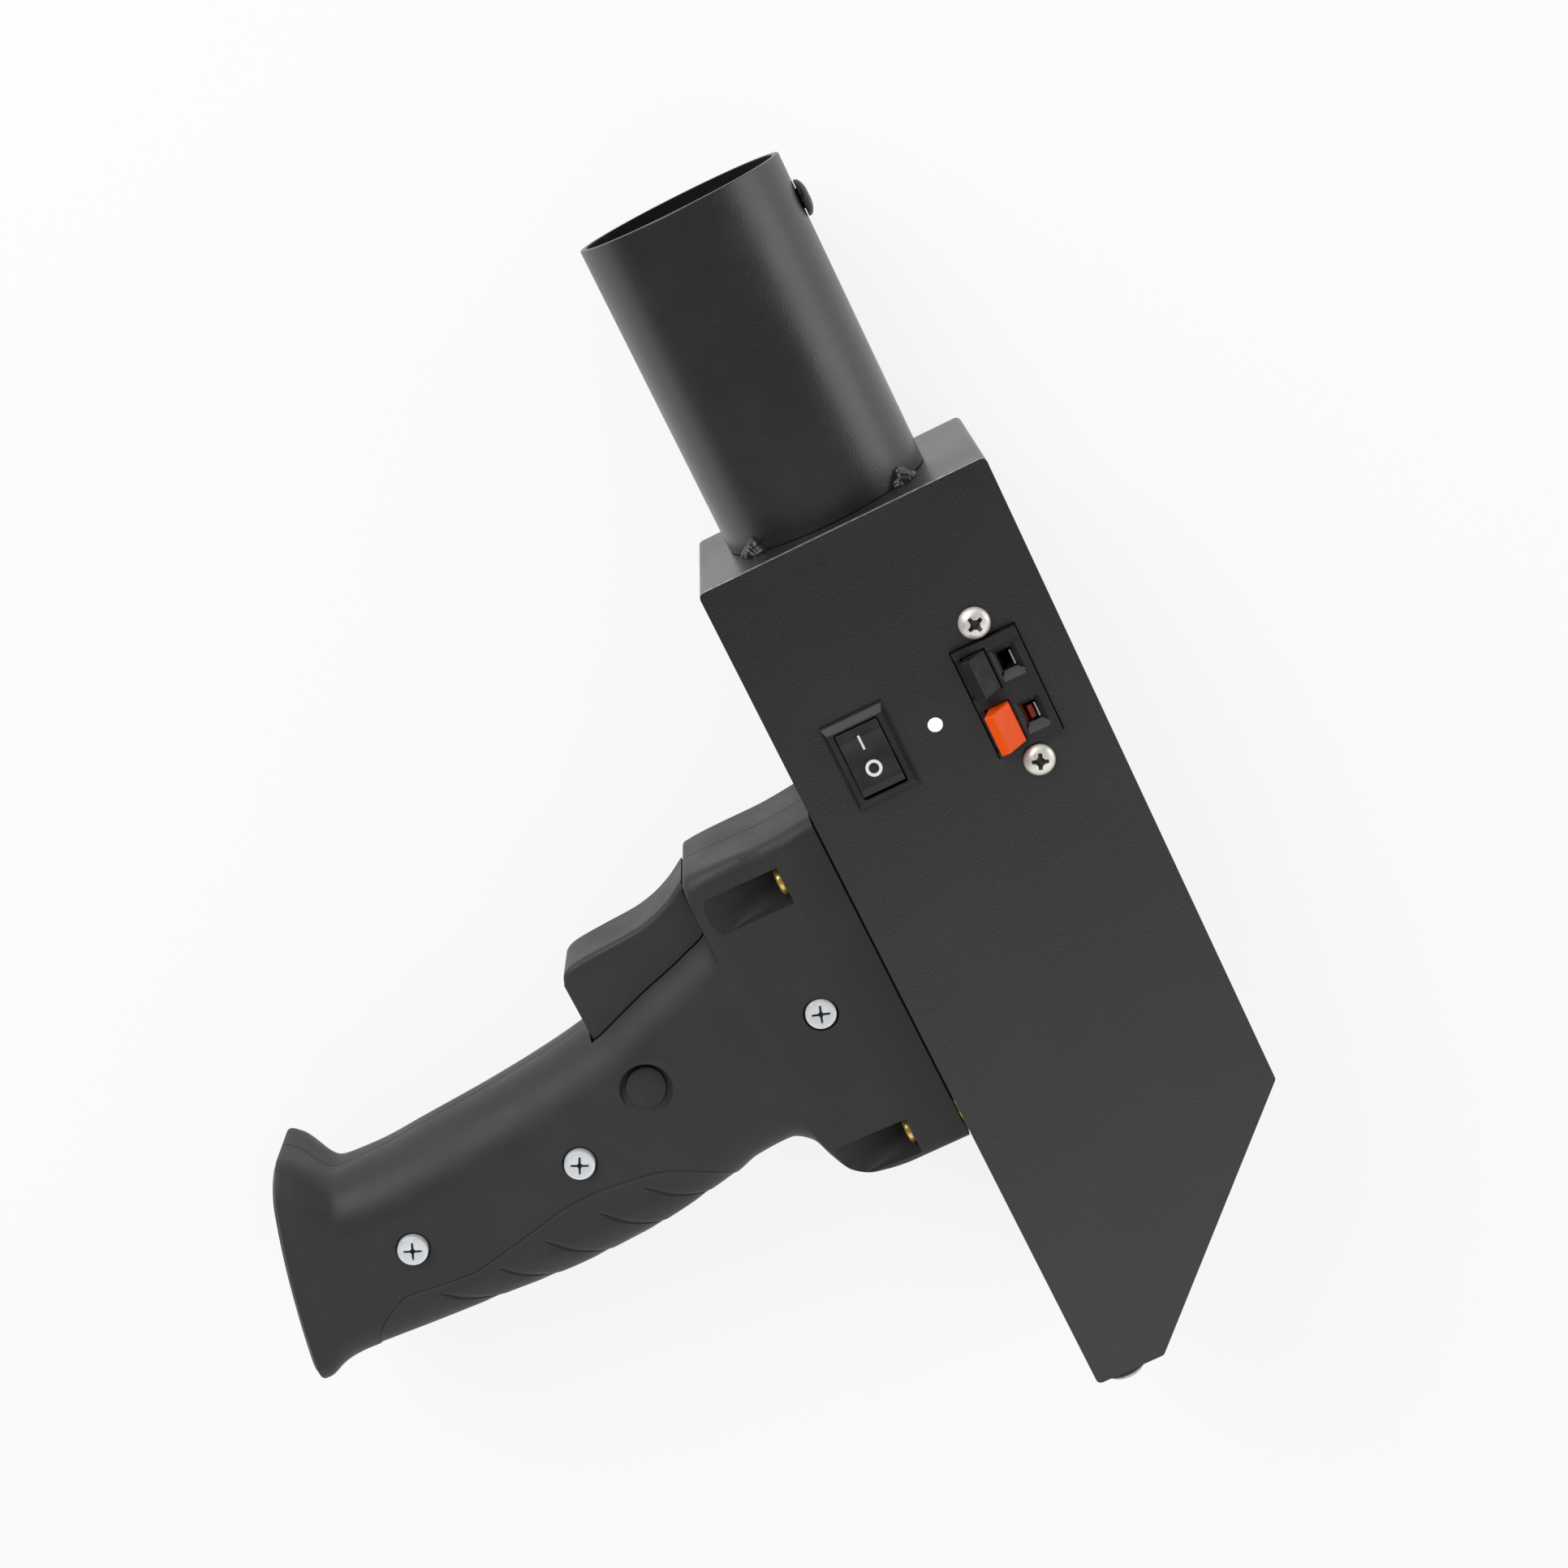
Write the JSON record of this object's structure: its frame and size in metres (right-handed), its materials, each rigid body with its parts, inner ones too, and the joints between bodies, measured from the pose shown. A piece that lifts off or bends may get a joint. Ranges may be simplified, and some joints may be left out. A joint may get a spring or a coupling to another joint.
{
  "type": "cold spark machine",
  "caption": "Hand-held cold spark gun: a steel launch tube on a folded sheet housing with a moulded pistol grip, a sliding trigger, a rocker switch and a push terminal.",
  "frame": {"origin": "centre of the bounding box in X and Y, on the plane of the plain side panel that the part lies on", "axes": "+Y along the launch tube to its muzzle, +X away from the grip, +Z out of the side panel with the controls"},
  "size_m": [0.2364, 0.2896, 0.0686],
  "materials": {
    "black_paint": "fine-textured satin black powder coat",
    "black_screw": "blackened, satin",
    "gloss_black_plastic": "moulded, semi-gloss",
    "black_plastic": "moulded, satin",
    "grip_plastic": "moulded, fine-grained satin",
    "orange_plastic": "moulded, semi-gloss",
    "lamp_lens": "clear water-white lens",
    "nickel_screw": "nickel-plated steel, bright",
    "zinc_screw": "blue zinc-plated steel, bright",
    "yellow_zinc_screw": "yellow zinc-plated steel",
    "brass_tag": "plain brass",
    "spring_steel": "bright spring steel",
    "sleeve_film": "shrunk film, glossy",
    "red_wire": "insulated wire",
    "black_wire": "insulated wire"
  },
  "bodies": {
    "housing": {"housing_tray": "black_paint", "side_cover": "black_paint", "cover_screw_1": "black_screw", "cover_screw_2": "black_screw", "cover_screw_3": "black_screw", "cover_screw_4": "black_screw", "charging_socket": "gloss_black_plastic", "charging_socket_nut": "nickel_screw", "launch_tube": "black_paint", "rocker_body": "gloss_black_plastic", "rocker_lug_1": "brass_tag", "rocker_lug_2": "brass_tag", "indicator_lamp": "lamp_lens", "terminal_body": "black_plastic", "terminal_contact_black": "spring_steel", "terminal_contact_red": "spring_steel", "terminal_screw_1": "nickel_screw", "terminal_screw_2": "nickel_screw", "terminal_nut_1": "nickel_screw", "terminal_nut_2": "nickel_screw", "grip_half_near": "grip_plastic", "grip_half_far": "grip_plastic", "grip_screw_1": "zinc_screw", "grip_screw_2": "zinc_screw", "grip_screw_3": "zinc_screw", "flange_screw_1": "yellow_zinc_screw", "flange_screw_2": "yellow_zinc_screw", "flange_screw_3": "yellow_zinc_screw", "flange_screw_4": "yellow_zinc_screw", "flange_nut_1": "yellow_zinc_screw", "flange_nut_2": "yellow_zinc_screw", "flange_nut_3": "yellow_zinc_screw", "flange_nut_4": "yellow_zinc_screw", "return_spring": "spring_steel", "trigger_switch": "gloss_black_plastic", "switch_tab_1": "brass_tag", "switch_tab_2": "brass_tag", "battery_pack": "sleeve_film", "battery_clip": "spring_steel", "battery_wire_red": "red_wire", "battery_wire_black": "black_wire", "trigger_wire_red": "red_wire", "trigger_wire_black": "black_wire", "charging_wire_red": "red_wire", "charging_wire_black": "black_wire"},
    "trigger_body": {"trigger": "grip_plastic", "switch_slider": "gloss_black_plastic"},
    "paddle_body": {"rocker_paddle": "gloss_black_plastic"},
    "black_lever_body": {"terminal_lever_black": "black_plastic"},
    "red_lever_body": {"terminal_lever_red": "orange_plastic"},
    "clamp_body": {"clamp_screw": "black_screw"}
  },
  "joints": [
    {"name": "trigger_pull", "type": "slide", "parent": "housing", "child": "trigger_body", "axis": [0, -1, 0], "range_m": [0, 0.007], "stiffness_N_per_m": 600, "springref_m": -0.006, "deforming": ["return_spring"]},
    {"name": "rocker_tilt", "type": "hinge", "parent": "housing", "child": "paddle_body", "pos_m": [0.068, 0.022, 0.0618], "axis": [1, 0, 0], "range_deg": [0, 16]},
    {"name": "black_lever_press", "type": "hinge", "parent": "housing", "child": "black_lever_body", "pos_m": [0.102, 0.02852, 0.0586], "axis": [0, -1, 0], "range_deg": [0, 12], "stiffness_Nm_per_rad": 0.05, "springref_deg": -11.46},
    {"name": "red_lever_press", "type": "hinge", "parent": "housing", "child": "red_lever_body", "pos_m": [0.102, 0.01547, 0.0586], "axis": [0, -1, 0], "range_deg": [0, 12], "stiffness_Nm_per_rad": 0.05, "springref_deg": -11.46},
    {"name": "clamp_turn", "type": "hinge", "parent": "housing", "child": "clamp_body", "pos_m": [0.1066, 0.1338, 0.031], "axis": [1, 0, 0], "range_deg": [0, 1440]}
  ]
}
